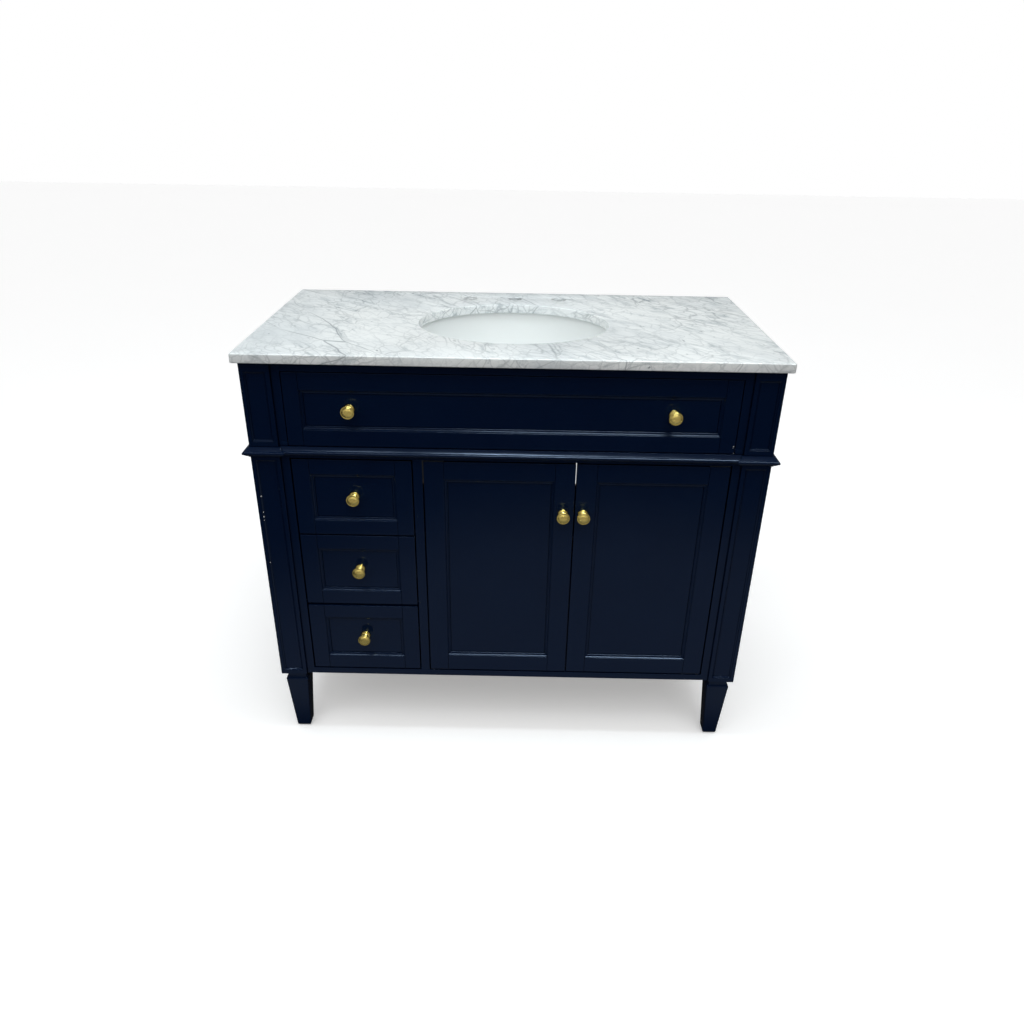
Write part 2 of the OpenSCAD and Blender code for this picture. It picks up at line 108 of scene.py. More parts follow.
class Graph:
    """A material and its nodes, each added and joined up in one call."""

    def __init__(self, name):
        self.material = bpy.data.materials.new(name)
        self.material.use_nodes = True
        self.tree = self.material.node_tree
        self.shader = self.tree.nodes["Principled BSDF"]
        self.where = self.add("TexCoord").outputs["Object"]

    def join(self, socket, value):
        if isinstance(value, bpy.types.NodeSocket):
            self.tree.links.new(value, socket)
        else:
            socket.default_value = value

    def add(self, kind, inputs=None, **settings):
        node = self.tree.nodes.new("ShaderNode" + kind)
        for key, value in settings.items():
            setattr(node, key, value)
        for key, value in (inputs or {}).items():
            self.join(node.inputs[key], value)
        return node

    def math(self, operation, a, b=0.0):
        return self.add("Math", {0: a, 1: b}, operation=operation).outputs[0]

    def vector(self, operation, a, b):
        return self.add("VectorMath", {0: a, 1: b}, operation=operation).outputs["Vector"]

    def stretch(self, vector, factors):
        return self.vector("MULTIPLY", vector, factors)

    def distance(self, a, b):
        return self.add("VectorMath", {0: a, 1: b}, operation="DISTANCE").outputs["Value"]

    def parts(self, vector):
        """The X, Y and Z of a vector."""
        return self.add("SeparateXYZ", {"Vector": vector}).outputs

    def noise(self, vector, scale, detail=4.0, roughness=0.5, distortion=0.0):
        inputs = {"Vector": vector, "Scale": scale, "Detail": detail}
        inputs.update({"Roughness": roughness, "Distortion": distortion})
        return self.add("TexNoise", inputs).outputs["Fac"]

    def warp(self, vector, scale, amount, detail=3.0):
        """The same places, pushed about by a noise."""
        inputs = {"Vector": vector, "Scale": scale, "Detail": detail}
        push = self.add("TexNoise", inputs).outputs["Color"]
        centred = self.vector("SUBTRACT", push, (0.5, 0.5, 0.5))
        return self.vector("ADD", vector, self.stretch(centred, (amount,) * 3))

    def cracks(self, vector, scale, width):
        """1 along the edges of random cells, fading to 0 at width away."""
        inputs = {"Vector": vector, "Scale": scale}
        cells = self.add("TexVoronoi", inputs, feature="DISTANCE_TO_EDGE").outputs["Distance"]
        return self.fade(cells, 0.0, width, 1.0, 0.0)

    def fade(self, value, low, high, start=0.0, end=1.0):
        """Goes smoothly from start to end as value goes from low to high."""
        inputs = {"Value": value, "From Min": low, "From Max": high, "To Min": start, "To Max": end}
        return self.add("MapRange", inputs, interpolation_type="SMOOTHSTEP").outputs["Result"]

    def mix(self, factor, a, b):
        """Colour a where factor is 0, and b where it is 1."""
        return self.add("Mix", {0: factor, 6: a, 7: b}, data_type="RGBA").outputs[2]

    def arrises(self, reach):
        """1 on outer edges, fading to 0 at reach away from them."""
        inputs = {"Distance": reach}
        open_air = self.add("AmbientOcclusion", inputs, samples=6, inside=True, only_local=True)
        return self.fade(open_air.outputs["AO"], 0.95, 0.55, 0.0, 1.0)

    def hollows(self, reach):
        """1 deep in grooves and corners, fading to 0 in the open."""
        open_air = self.add("AmbientOcclusion", {"Distance": reach}, samples=6)
        return self.fade(open_air.outputs["AO"], 0.0, 1.0, 1.0, 0.0)

    def bump(self, height, distance, strength=1.0, normal=None):
        inputs = {"Height": height, "Distance": distance, "Strength": strength}
        if normal is not None:
            inputs["Normal"] = normal
        return self.add("Bump", inputs).outputs["Normal"]

    def finish(self, **sockets):
        """Joins up the shader's sockets, and gives the material."""
        for key, value in sockets.items():
            self.join(self.shader.inputs[key.replace("_", " ")], value)
        return self.material


def rgb(red, green, blue):
    return (red, green, blue, 1.0)


# ---- Materials ----


def chip_places():
    """Where the paint has chipped to the primer: (centre, radius) of each chip."""
    post_low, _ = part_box("front_left_post")
    tipout_low, tipout_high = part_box("tipout_frame")
    recess = post_low + Vector((9.2 * MM, 1.6 * MM, 0))
    chips = [(recess + Vector((0, 0, z * MM)), r * MM)
             for z, r in ((436, 1.5), (401, 1.2), (391, 1.7), (383, 1.0), (285, 1.1))]
    corner = Vector((tipout_high.x, tipout_low.y, tipout_low.z))
    chips += [(corner + Vector((x * MM, 0, z * MM)), r * MM)
              for x, z, r in ((-1.5, 15, 0.9), (-2.5, 12, 0.6), (1, 1, 1.1))]
    return chips


def navy_paint():
    """Satin navy lacquer: mottled, with orange peel, rubbed edges with a painted highlight, painted shade
    in its recesses and grooves, and a few chips.
    """
    deep, pale = rgb(0.0007, 0.0050, 0.0225), rgb(0.0012, 0.0075, 0.0295)
    rubbed = rgb(0.006, 0.020, 0.055)
    shade_navy = rgb(0.0001, 0.0008, 0.0034)
    primer = rgb(0.80, 0.79, 0.75)
    g = Graph("navy_paint")
    base = g.mix(g.noise(g.where, 9, 4, 0.6), deep, pale)
    # rubbed edges: worn paint, together with a painted highlight along the arrises
    patchy = g.fade(g.noise(g.where, 45, 5, 0.6), 0.42, 0.62)
    worn_and_highlit = g.math("MULTIPLY", g.arrises(1.6 * MM), patchy)
    base = g.mix(g.math("MULTIPLY", worn_and_highlit, 0.3), base, rubbed)
    # painted shade: the paint goes near black deep in corners, gaps and grooves, where shade falls
    corner = g.fade(g.hollows(7 * MM), 0.35, 0.85)
    crevice_shade = g.fade(g.hollows(2 * MM), 0.04, 0.20)
    recess = g.math("MAXIMUM", corner, crevice_shade)
    base = g.mix(recess, base, shade_navy)
    chipped = 0.0
    ragged = g.noise(g.where, 900, 3, 0.7)
    for centre, radius in chip_places():
        limit = g.fade(ragged, 0.3, 0.7, 0.4 * radius, 1.3 * radius)
        chip = g.math("LESS_THAN", g.distance(g.where, centre), limit)
        chipped = g.math("MAXIMUM", chipped, chip)
    colour = g.mix(chipped, base, primer)
    peel = g.noise(g.where, 700, 2, 0.5)
    wood = g.noise(g.where, 72, 3, 0.5)
    normal = g.bump(peel, 0.05 * MM, 0.6)
    normal = g.bump(wood, 0.12 * MM, 0.35, normal)
    normal = g.bump(g.math("SUBTRACT", 1.0, chipped), 0.25 * MM, 1.0, normal)
    rough = g.fade(g.noise(g.where, 22, 4, 0.6), 0.3, 0.7, 0.15, 0.22)
    rough = g.math("ADD", rough, g.math("MULTIPLY", chipped, 0.3))
    gloss = g.fade(recess, 0.0, 1.0, 0.55, 0.02)  # the shine is turned down where shade is painted in the recesses
    g.shader.inputs["Specular Tint"].default_value = rgb(0.58, 0.72, 0.95)
    return g.finish(Base_Color=colour, Roughness=rough, Specular_IOR_Level=gloss, Normal=normal)


def marble():
    """White marble: grey clouds, fibres, a web of fine cracks and a few long veins, all leaning one way.

    The clouds thin out to the right, and the fibres and the web are stronger at the back.
    """
    cool_white, warm_white = rgb(0.87, 0.905, 0.91), rgb(0.95, 0.965, 0.95)
    cloud_grey = rgb(0.50, 0.55, 0.585)
    grain_grey = rgb(0.50, 0.52, 0.53)
    fibre_grey = rgb(0.44, 0.49, 0.51)
    vein_grey = rgb(0.17, 0.20, 0.22)
    g = Graph("marble")
    leaning = {"Vector": g.where, "Axis": (0.30, 0.10, 1.0), "Angle": math.radians(54)}
    lean = g.add("VectorRotate", leaning, rotation_type="AXIS_ANGLE").outputs["Vector"]
    lean = g.warp(lean, 4, 0.05)
    clouds = g.noise(g.stretch(lean, (0.5, 1.0, 1.0)), 6.5, 9, 0.60, 0.3)
    to_right = g.fade(g.parts(g.where)["X"], -0.1, 0.45)
    to_back = g.fade(g.parts(g.where)["Y"], -0.05, 0.22)
    broad = g.math("ADD", g.noise(g.where, 2.4, 3, 0.5), g.math("MULTIPLY", to_right, 0.12))
    white = g.mix(g.fade(broad, 0.35, 0.65), cool_white, warm_white)
    cloudy = g.math("SUBTRACT", 0.50, g.math("MULTIPLY", to_right, 0.22))
    stone = g.mix(g.math("MULTIPLY", g.fade(clouds, 0.43, 0.72), cloudy), white, cloud_grey)
    grain = g.noise(g.where, 260, 4, 0.7)
    stone = g.mix(g.fade(grain, 0.4, 0.75, 0.0, 0.12), stone, grain_grey)
    fibre_place = g.warp(g.stretch(lean, (0.26, 1.0, 1.0)), 40, 0.012)
    fibres = g.fade(g.noise(fibre_place, 46, 8, 0.74), 0.47, 0.68, 0.0, 0.70)
    gate = g.fade(g.noise(g.stretch(lean, (0.5, 1.0, 1.0)), 8, 4, 0.6), 0.38, 0.62, 0.30, 1.0)
    gate = g.math("MULTIPLY", gate, g.math("ADD", 1.0, g.math("MULTIPLY", to_back, 0.6)))
    web_place = g.warp(g.stretch(lean, (0.42, 1.0, 1.0)), 26, 0.018)
    web = g.math("MULTIPLY", g.cracks(web_place, 20, 0.036), g.math("MULTIPLY", gate, 0.34))
    fine_place = g.warp(g.stretch(lean, (0.5, 1.0, 1.0)), 60, 0.010)
    fine = g.math("MULTIPLY", g.cracks(fine_place, 46, 0.070), g.math("MULTIPLY", gate, 0.27))
    long_place = g.warp(g.stretch(lean, (0.14, 1.0, 1.0)), 9, 0.014)
    long_gate = g.fade(g.noise(g.where, 4.5, 2), 0.40, 0.58, 0.1, 0.62)
    long_veins = g.math("MULTIPLY", g.cracks(long_place, 5.6, 0.009), long_gate)
    specks = g.fade(g.noise(g.stretch(lean, (0.6, 1.0, 1.0)), 85, 2, 0.4), 0.72, 0.78, 0.0, 0.7)
    veins = g.math("MAXIMUM", g.math("MAXIMUM", web, fine), g.math("MAXIMUM", long_veins, specks))
    stone = g.mix(g.math("MULTIPLY", fibres, gate), stone, fibre_grey)
    colour = g.mix(veins, stone, vein_grey)
    rough = g.fade(grain, 0.3, 0.7, 0.12, 0.20)
    normal = g.bump(g.math("ADD", g.math("MULTIPLY", veins, -0.7), grain), 0.03 * MM, 0.5)
    return g.finish(Base_Color=colour, Roughness=rough, Normal=normal)


def vitreous_china():
    """White glaze, very slightly uneven, with a cooler tone where it pools."""
    g = Graph("vitreous_china")
    pool = g.noise(g.where, 8, 3, 0.5)
    base = g.mix(pool, rgb(0.79, 0.82, 0.815), rgb(0.85, 0.87, 0.86))
    specks = g.fade(g.noise(g.where, 420, 2, 0.4), 0.70, 0.78, 0.0, 0.15)
    base = g.mix(specks, base, rgb(0.60, 0.61, 0.60))
    rough = g.fade(g.noise(g.where, 30, 3, 0.6), 0.3, 0.8, 0.05, 0.12)
    normal = g.bump(g.noise(g.where, 16, 2, 0.4), 0.5 * MM, 0.3)
    g.shader.inputs["Coat Weight"].default_value = 0.5
    g.shader.inputs["Coat Roughness"].default_value = 0.03
    return g.finish(Base_Color=base, Roughness=rough, Normal=normal)


def satin_brass():
    """Turned brass: rings from the lathe, a duller face, and a darker tone in its hollows."""
    bright, dull = rgb(0.95, 0.76, 0.245), rgb(0.84, 0.66, 0.20)
    tarnish = rgb(0.10, 0.065, 0.018)
    g = Graph("satin_brass")
    parts = g.parts(g.where)
    squares = [g.math("POWER", parts[axis], 2.0) for axis in ("X", "Z")]
    radius = g.math("SQRT", g.math("ADD", *squares))
    ring_place = g.add("CombineXYZ", {"X": radius, "Y": parts["Y"]}).outputs["Vector"]
    rings = g.noise(ring_place, 2600, 2, 0.6)
    smears = g.noise(g.where, 120, 4, 0.6)
    base = g.mix(g.fade(smears, 0.35, 0.7), bright, dull)
    open_air = g.add("AmbientOcclusion", {"Distance": 3 * MM}, samples=6, only_local=True)
    base = g.mix(g.fade(open_air.outputs["AO"], 0.92, 0.45, 0.0, 0.85), base, tarnish)
    uneven = g.math("ADD", g.math("MULTIPLY", rings, 0.5), g.math("MULTIPLY", smears, 0.5))
    rough = g.fade(uneven, 0.3, 0.7, 0.08, 0.15)
    face = g.fade(parts["Y"], -21.6 * MM, -22.6 * MM, 0.0, 0.14)
    rough = g.math("ADD", rough, face)
    normal = g.bump(rings, 0.02 * MM, 0.5)
    g.shader.inputs["Metallic"].default_value = 1.0
    return g.finish(Base_Color=base, Roughness=rough, Normal=normal)


def zinc_steel():
    """Zinc-plated sheet steel with a faint grain along the length and cloudy patches."""
    g = Graph("zinc_steel")
    streaks = g.noise(g.stretch(g.where, (700, 12, 700)), 1, 4, 0.6)
    clouds = g.noise(g.where, 55, 4, 0.6)
    base = g.mix(g.fade(clouds, 0.3, 0.7), rgb(0.50, 0.52, 0.55), rgb(0.66, 0.67, 0.68))
    base = g.mix(g.fade(streaks, 0.4, 0.7, 0.0, 0.35), base, rgb(0.36, 0.37, 0.40))
    rough = g.fade(streaks, 0.3, 0.7, 0.26, 0.42)
    g.shader.inputs["Metallic"].default_value = 1.0
    return g.finish(Base_Color=base, Roughness=rough, Normal=g.bump(streaks, 0.02 * MM, 0.6))


def black_zinc():
    """Steel with a black passivated zinc finish, rubbed bare on its edges."""
    g = Graph("black_zinc")
    clouds = g.noise(g.where, 70, 4, 0.6)
    base = g.mix(clouds, rgb(0.010, 0.011, 0.013), rgb(0.024, 0.025, 0.028))
    base = g.mix(g.math("MULTIPLY", g.arrises(0.6 * MM), 0.3), base, rgb(0.22, 0.22, 0.23))
    g.shader.inputs["Metallic"].default_value = 0.6
    return g.finish(Base_Color=base, Roughness=g.fade(clouds, 0.3, 0.7, 0.40, 0.55))


def birch(grain, thickness, painted=None):
    """Sealed birch plywood: figure along the grain, pores, and plies on the edges.

    painted is the direction that a face painted navy looks in.
    """
    pale, tan = rgb(0.735, 0.575, 0.375), rgb(0.60, 0.435, 0.255)
    pore_brown, ply_brown = rgb(0.36, 0.23, 0.12), rgb(0.33, 0.20, 0.10)
    navy = rgb(0.0015, 0.0085, 0.032)
    ply_pair = 2.9 * MM
    g = Graph(f"birch_{grain}{thickness}".lower() + ("_painted" if painted else ""))
    fibres = g.stretch(g.where, tuple(2.2 if axis == grain else 34 for axis in "XYZ"))
    figure = g.noise(g.warp(fibres, 0.6, 1.1), 1.0, 5, 0.55, 0.6)
    fine = g.stretch(g.where, tuple(30 if axis == grain else 900 for axis in "XYZ"))
    pores = g.noise(fine, 1.0, 3, 0.6)
    base = g.mix(g.fade(figure, 0.34, 0.66), tan, pale)
    base = g.mix(g.fade(pores, 0.58, 0.75, 0.0, 0.35), base, pore_brown)
    depth = g.parts(g.where)[thickness]
    ply = g.math("FRACT", g.math("MULTIPLY", depth, 1 / ply_pair))
    stripe = g.math("GREATER_THAN", ply, 0.5)
    facing = g.add("TexCoord").outputs["Normal"]
    edge = g.fade(g.math("ABSOLUTE", g.parts(facing)[thickness]), 0.5, 0.3)
    plies = g.math("MULTIPLY", g.math("MULTIPLY", stripe, edge), 0.6)
    base = g.mix(plies, base, ply_brown)
    rough = g.fade(figure, 0.3, 0.7, 0.42, 0.58)
    normal = g.bump(pores, 0.05 * MM, 0.5)
    if painted:
        aligned = g.add("VectorMath", {0: facing, 1: painted}, operation="DOT_PRODUCT")
        base = g.mix(g.fade(aligned.outputs["Value"], 0.3, 0.7), base, navy)
    return g.finish(Base_Color=base, Roughness=rough, Normal=normal)


def plastic(name, dark, light):
    """Moulded plastic with a fine spark-eroded texture."""
    g = Graph(name)
    base = g.mix(g.noise(g.where, 14, 3, 0.5), rgb(*dark), rgb(*light))
    texture = g.noise(g.where, 1500, 2, 0.5)
    rough = g.fade(g.noise(g.where, 90, 3, 0.6), 0.3, 0.7, 0.38, 0.52)
    return g.finish(Base_Color=base, Roughness=rough, Normal=g.bump(texture, 0.03 * MM, 0.5))


NAVY = navy_paint()
MARBLE = marble()
CHINA = vitreous_china()
BRASS = satin_brass()
ZINC = zinc_steel()
BLACK_ZINC = black_zinc()
WHITE_PLASTIC = plastic("white_plastic", (0.66, 0.66, 0.63), (0.76, 0.76, 0.73))
BLACK_PLASTIC = plastic("black_plastic", (0.012, 0.012, 0.012), (0.03, 0.03, 0.03))
BIRCH = {key: birch(*key) for key in ("XY", "XZ", "YX", "YZ", "ZY")}
PAINTED_FLOOR = birch("X", "Z", (0, 0, 1))
PAINTED_BACK = birch("Z", "Y", (0, -1, 0))
PAINTED_DIVIDER = birch("Y", "X", (1, 0, 0))


# ---- Building meshes ----


class Builder:
    """A mesh made of closed shells, each with its own width of bevel."""

    def __init__(self):
        self.mesh = bmesh.new()
        self.weight = self.mesh.edges.layers.float.new("bevel_weight_edge")
        self.widest = 0.0
        self.shells = []

    def skin(self, rings, closed=False):
        """Joins rings of points, each with the same number of points. Gives their vertices and faces."""
        points = [[self.mesh.verts.new(p) for p in ring] for ring in rings]
        pairs = list(zip(points, points[1:]))
        if closed:
            pairs.append((points[-1], points[0]))
        faces = []
        for near, far in pairs:
            for j in range(len(near)):
                k = (j + 1) % len(near)
                faces.append(self.mesh.faces.new((near[j], near[k], far[k], far[j])))
        return points, faces

    def loft(self, rings, bevel=0.0, closed=False):
        """A shell through rings of points, capped at its ends if it isn't closed."""
        points, faces = self.skin(rings, closed)
        if not closed:
            faces.append(self.mesh.faces.new(points[0][::-1]))
            faces.append(self.mesh.faces.new(points[-1]))
        self.shells.append((faces, bevel))
        self.widest = max(self.widest, bevel)

    def slab(self, flat, across, upward, deep, bevel):
        """A board between two places across, upward and deep. flat() places a point."""
        (b0, b1), (near, far) = upward, deep
        rings = [[flat(a, near, b0), flat(a, far, b0), flat(a, far, b1), flat(a, near, b1)] for a in across]
        self.loft(rings, bevel)

    def board(self, low, high, bevel):
        """A board from one corner to the other."""
        across, deep, upward = zip(low, high)
        self.slab(facing_front, across, upward, deep, bevel)

    def piece(self, name, body, material, replaces=(), at=(0, 0, 0), smooth=35):
        """Makes the shells into an object that rides on a body and stands for CAD nodes."""
        bmesh.ops.recalc_face_normals(self.mesh, faces=self.mesh.faces)
        for faces, bevel in self.shells:
            if bevel:
                for edge in {e for f in faces for e in f.edges}:
                    if len(edge.link_faces) == 2 and edge.calc_face_angle(0) > math.radians(30):
                        edge[self.weight] = bevel / self.widest
        data = bpy.data.meshes.new(name)
        self.mesh.to_mesh(data)
        self.mesh.free()
        data.materials.append(material)
        data.shade_smooth()
        data.set_sharp_from_angle(angle=math.radians(smooth))
        made = bpy.data.objects.new(name, data)
        made.location = at
        bpy.context.scene.collection.objects.link(made)
        if self.widest:
            bevel = made.modifiers.new("arrises", "BEVEL")
            bevel.limit_method = "WEIGHT"
            bevel.width = self.widest
            bevel.segments = 2
            bevel.harden_normals = True
        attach(made, body)
        if replaces:
            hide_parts(*replaces)
        return made


def facing_front(a, depth, b):
    """Places a point of the front, from how far it is across, deep and up."""
    return (a, depth, b)


def turned(profile, segments, place):
    """Turns a profile of (radius, height) round. place() gives the point at a radius, height and turn."""
    turns = [2 * math.pi * i / segments for i in range(segments)]
    return [[place(radius, height, math.cos(a), math.sin(a)) for a in turns] for radius, height in profile]


def arc(centre, radius, start, end, steps):
    """Points of an arc between two angles in degrees."""
    angles = [math.radians(start + (end - start) * i / steps) for i in range(steps + 1)]
    return [(centre[0] + radius * math.cos(a), centre[1] + radius * math.sin(a)) for a in angles]


def scaled(points, factor):
    return [(a * factor, b * factor) for a, b in points]


def dress(node, material, bevel=0.0):
    """Gives a CAD node its material, and a soft arris where it has sharp edges."""
    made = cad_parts[node]
    if made.material_slots:
        for place in made.material_slots:
            place.material = material
    else:
        made.data.materials.append(material)
    if bevel:
        weld = made.modifiers.new("weld", "WELD")
        weld.merge_threshold = 0.002 * MM
        soften = made.modifiers.new("arrises", "BEVEL")
        soften.limit_method = "ANGLE"
        soften.angle_limit = math.radians(30)
        soften.width = bevel
        soften.segments = 2
        soften.harden_normals = True


# ---- Framed fronts and sides ----

STICKING = scaled(
    [(0, 6), (0, 1), (1, 1)]
    + arc((4.6, 0.6), 3.4, 155, 95, 10)
    + arc((5.0, 4.9), 1.5, 280, 360, 10)
    + [(6.5, 6)], MM)


def sticking(builder, opening, face, flat):
    """Mitred moulding round an opening (left, right, low, high) in a face. flat() places a point."""
    left, right, low, high = opening
    corners = [(left, low), (right, low), (right, high), (left, high)]
    inward = [(1, 1), (-1, 1), (-1, -1), (1, -1)]
    for k in range(4):
        rings = []
        for n in (k, (k + 1) % 4):
            (a, b), (da, db) = corners[n], inward[n]
            rings.append([flat(a + da * u, face + depth, b + db * u) for u, depth in STICKING])
        builder.loft(rings, MOLDED_BEVEL)


def frame_boards(builder, outer, opening, face, thickness):
    """The two stiles, and the rails between them, round an opening."""
    left, right, low, high = outer
    in_left, in_right, in_low, in_high = opening
    boards = [((left, in_left), (low, high)), ((in_right, right), (low, high)),
              ((in_left, in_right), (low, in_low)), ((in_left, in_right), (in_high, high))]
    for across, upward in boards:
        builder.slab(facing_front, across, upward, (face, face + thickness), JOINT_BEVEL)


def framed_front(name, body, node, stile=None, rail=None, panel=None, grown=(0, 0, 0)):
    """A front's frame with its moulding. The opening is the panel node's, or is given by its margins.

    grown is how far the frame stands past its node at its left, right and top.
    """
    low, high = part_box(node)
    outer = (low.x - grown[0], high.x + grown[1], low.z, high.z + grown[2])
    if panel:
        panel_low, panel_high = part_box(panel)
        opening = (panel_low.x, panel_high.x, panel_low.z, panel_high.z)
    else:
        opening = (low.x + stile, high.x - stile, low.z + rail, high.z - rail)
    builder = Builder()
    frame_boards(builder, outer, opening, low.y, high.y - low.y)
    sticking(builder, opening, low.y, facing_front)
    builder.piece(name, body, NAVY, [node])
    if not panel:
        field_panel(name + "_panel", body, opening, low.y, facing_front)


def field_panel(name, body, opening, face, flat):
    """The flat panel behind an opening."""
    near = face + FIELD_DEPTH
    builder = Builder()
    builder.slab(flat, opening[:2], opening[2:], (near, near + FIELD_THICKNESS), MOLDED_BEVEL)
    builder.piece(name, body, NAVY)


def side_frame(side):
    """Three rails between the posts, with a moulded field panel in each opening."""
    node = f"{side}_side"
    low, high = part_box(node)
    outside, inside = (low.x, high.x) if side == "left" else (high.x, low.x)
    inward = math.copysign(1, inside - outside)

    def facing_out(a, depth, b):
        """Places a point of the side, from how far it is back, deep and up."""
        return (outside + inward * depth, a, b)

    waist_low, waist_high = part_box("waist_rail")
    run = (low.y, high.y)
    clear_run = (low.y + 1 * MM, high.y - 1 * MM)
    lower = (*clear_run, low.z + SIDE_BOTTOM_RAIL, waist_low.z - SIDE_BELOW_WAIST)
    upper = (*clear_run, waist_high.z + SIDE_ABOVE_WAIST, high.z - SIDE_TOP_RAIL)
    builder = Builder()
    for rail in ((low.z, lower[2]), (lower[3], upper[2]), (upper[3], high.z)):
        builder.slab(facing_out, run, rail, (0, high.x - low.x), JOINT_BEVEL)
    for opening in (lower, upper):
        sticking(builder, opening, 0, facing_out)
    builder.piece(node + "_frame", "cabinet", NAVY, [node])
    for label, opening in (("lower", lower), ("upper", upper)):
        field_panel(f"{node}_{label}_panel", "cabinet", opening, 0, facing_out)


# ---- Waist moulding and feet ----


def molding_profile():
    """(reach, height): a fillet, a quarter round, a bead, and a hollow slope up to the rail."""
    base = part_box("waist_molding_front")[0].z / MM
    shape = ([(0, 20), (0, 0), (2.5, 0), (2.5, 1.6)]
             + arc((2.5, 6.6), 5, 270, 325, 8)
             + arc((8.6, 9.4), 3.4, -70, 75, 16)
             + [(7.4, 13.1)]
             + arc((25.6, 31.2), 25.8, 225, 206, 12)
             + [(1.6, 20)])
    return [(reach * MM, (base + height) * MM) for reach, height in shape]


def molding(name, node, path, miters):
    """A moulding that follows a path in plan, mitred at its corners."""
    builder = Builder()
    profile = molding_profile()
    rings = [[(x + reach * dx, y + reach * dy, height) for reach, height in profile]
             for (x, y), (dx, dy) in zip(path, miters)]
    builder.loft(rings, MOLDED_BEVEL)
    builder.piece(name, "cabinet", NAVY, [node], smooth=40)


def waist_moldings():
    """One length between the posts, and one round each side and its posts."""
    post_low, post_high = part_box("front_left_post")
    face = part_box("waist_rail")[0].y
    front = [(-post_high.x, face), (post_high.x, face)]
    molding("waist_molding_front_run", "waist_molding_front", front, [(-1, -1), (1, -1)])
    rear_low, rear_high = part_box("rear_left_post")
    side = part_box("left_side")[0].x
    outer, inner = post_low.x, post_high.x
    path = [(inner, face), (inner, post_low.y), (outer, post_low.y), (outer, post_high.y),
            (side, post_high.y), (side, rear_low.y), (outer, rear_low.y), (outer, rear_high.y)]
    turns = [(1, -1), (1, -1), (-1, -1), (-1, 1), (-1, 1), (-1, -1), (-1, -1), (-1, 0)]
    for name, sign in (("left", 1), ("right", -1)):
        places = [(sign * x, y) for x, y in path]
        miters = [(sign * dx, dy) for dx, dy in turns]
        molding(f"waist_molding_{name}_run", f"waist_molding_{name}", places, miters)


def rounded_square(width, radius, z, centre, steps=4):
    """A square ring with rounded corners."""
    half = width / 2 - radius
    points = []
    for quarter, (sx, sy) in enumerate(((1, 1), (-1, 1), (-1, -1), (1, -1))):
        corner = (centre[0] + sx * half, centre[1] + sy * half)
        start = quarter * 90
        points += [(x, y, z) for x, y in arc(corner, radius, start, start + 90, steps)]
    return points


def foot(node):
    """A square tapered foot with a rounded shoulder, a neck and a rounded end."""
    low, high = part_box(node)
    centre = ((low.x + high.x) / 2, (low.y + high.y) / 2)
    top = high.z
    end_rise, end_spread = 5 * MM, 7 * MM
    turns = [math.radians(15 * i) for i in range(7)]
    end = [(low.z + end_rise * (1 - math.cos(a)), FOOT_END - end_spread * (1 - math.sin(a))) for a in turns]
    shoulder_z = top - 20 * MM
    rounding = 3.4 * MM
    turns = [math.radians(18 * i) for i in range(6)]
    shoulder = [(shoulder_z + rounding * math.sin(a), FOOT_SHOULDER - rounding * (1 - math.cos(a)))
                for a in turns]
    sections = end + [(shoulder_z - 4 * MM, FOOT_SHOULDER - 0.9 * MM)] + shoulder
    sections += [(top - 15.6 * MM, FOOT_NECK + 1.6 * MM), (top - 14.2 * MM, FOOT_NECK + 0.3 * MM),
                 (top - 13 * MM, FOOT_NECK), (top, FOOT_NECK)]
    rings = [rounded_square(width, 1.6 * MM, z, centre) for z, width in sections]
    builder = Builder()
    builder.loft(rings)
    builder.piece(node + "_tapered", "cabinet", NAVY, [node], smooth=50)


# ---- Stone top and basin ----


def rectangle_ring(low, high, inset, radius=3 * MM, steps=5):
    """A rounded rectangle, drawn in by inset."""
    points = []
    corners = ((high.x, high.y), (low.x, high.y), (low.x, low.y), (high.x, low.y))
    for quarter, (x, y) in enumerate(corners):
        sx = 1 if x == high.x else -1
        sy = 1 if y == high.y else -1
        centre = (x - sx * (inset + radius), y - sy * (inset + radius))
        points += arc(centre, radius, quarter * 90, quarter * 90 + 90, steps)
    return points


def oval_ring(centre, half, grown, segments):
    turns = [2 * math.pi * i / segments for i in range(segments)]
    return [(centre[0] + (half[0] + grown) * math.cos(a), centre[1] + (half[1] + grown) * math.sin(a))
            for a in turns]


def countertop():
    """A slab with eased arrises, an oval cut-out and three tap holes."""
    low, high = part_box("countertop")
    oval_centre = (0.0, low.y + CUTOUT_FROM_FRONT)
    builder = Builder()

    def section(arris):
        """(inset, height) from the underside's edge to the top's edge."""
        turns = [math.radians(15 * i) for i in range(7)]
        under = [(arris * (1 - math.cos(a)), low.z + arris * (1 - math.sin(a))) for a in reversed(turns)]
        over = [(arris * (1 - math.cos(a)), high.z - arris * (1 - math.sin(a))) for a in turns]
        return under + over

    def wall(ring_at, arris):
        """A wall round the slab or a hole. Gives its lowest and highest ring."""
        rings = [[(x, y, z) for x, y in ring_at(inset)] for inset, z in section(arris)]
        points, _ = builder.skin(rings)
        return points[0], points[-1]

    ends = [wall(lambda inset: rectangle_ring(low, high, inset), ARRIS)]
    ends.append(wall(lambda inset: oval_ring(oval_centre, CUTOUT_HALF, inset, 160), CUTOUT_ARRIS))
    for i in (-1, 0, 1):
        centre = (i * TAP_PITCH, high.y - TAP_FROM_WALL)
        ends.append(wall(lambda inset: oval_ring(centre, (TAP_RADIUS,) * 2, inset, 48), TAP_ARRIS))
    for rings in zip(*ends):
        edges = []
        for ring in rings:
            edges += [builder.mesh.edges.get(pair) for pair in zip(ring, ring[1:] + ring[:1])]
        bmesh.ops.triangle_fill(builder.mesh, edges=edges, use_beauty=True)
    builder.piece("stone_top", "cabinet", MARBLE, ["countertop"], smooth=40)


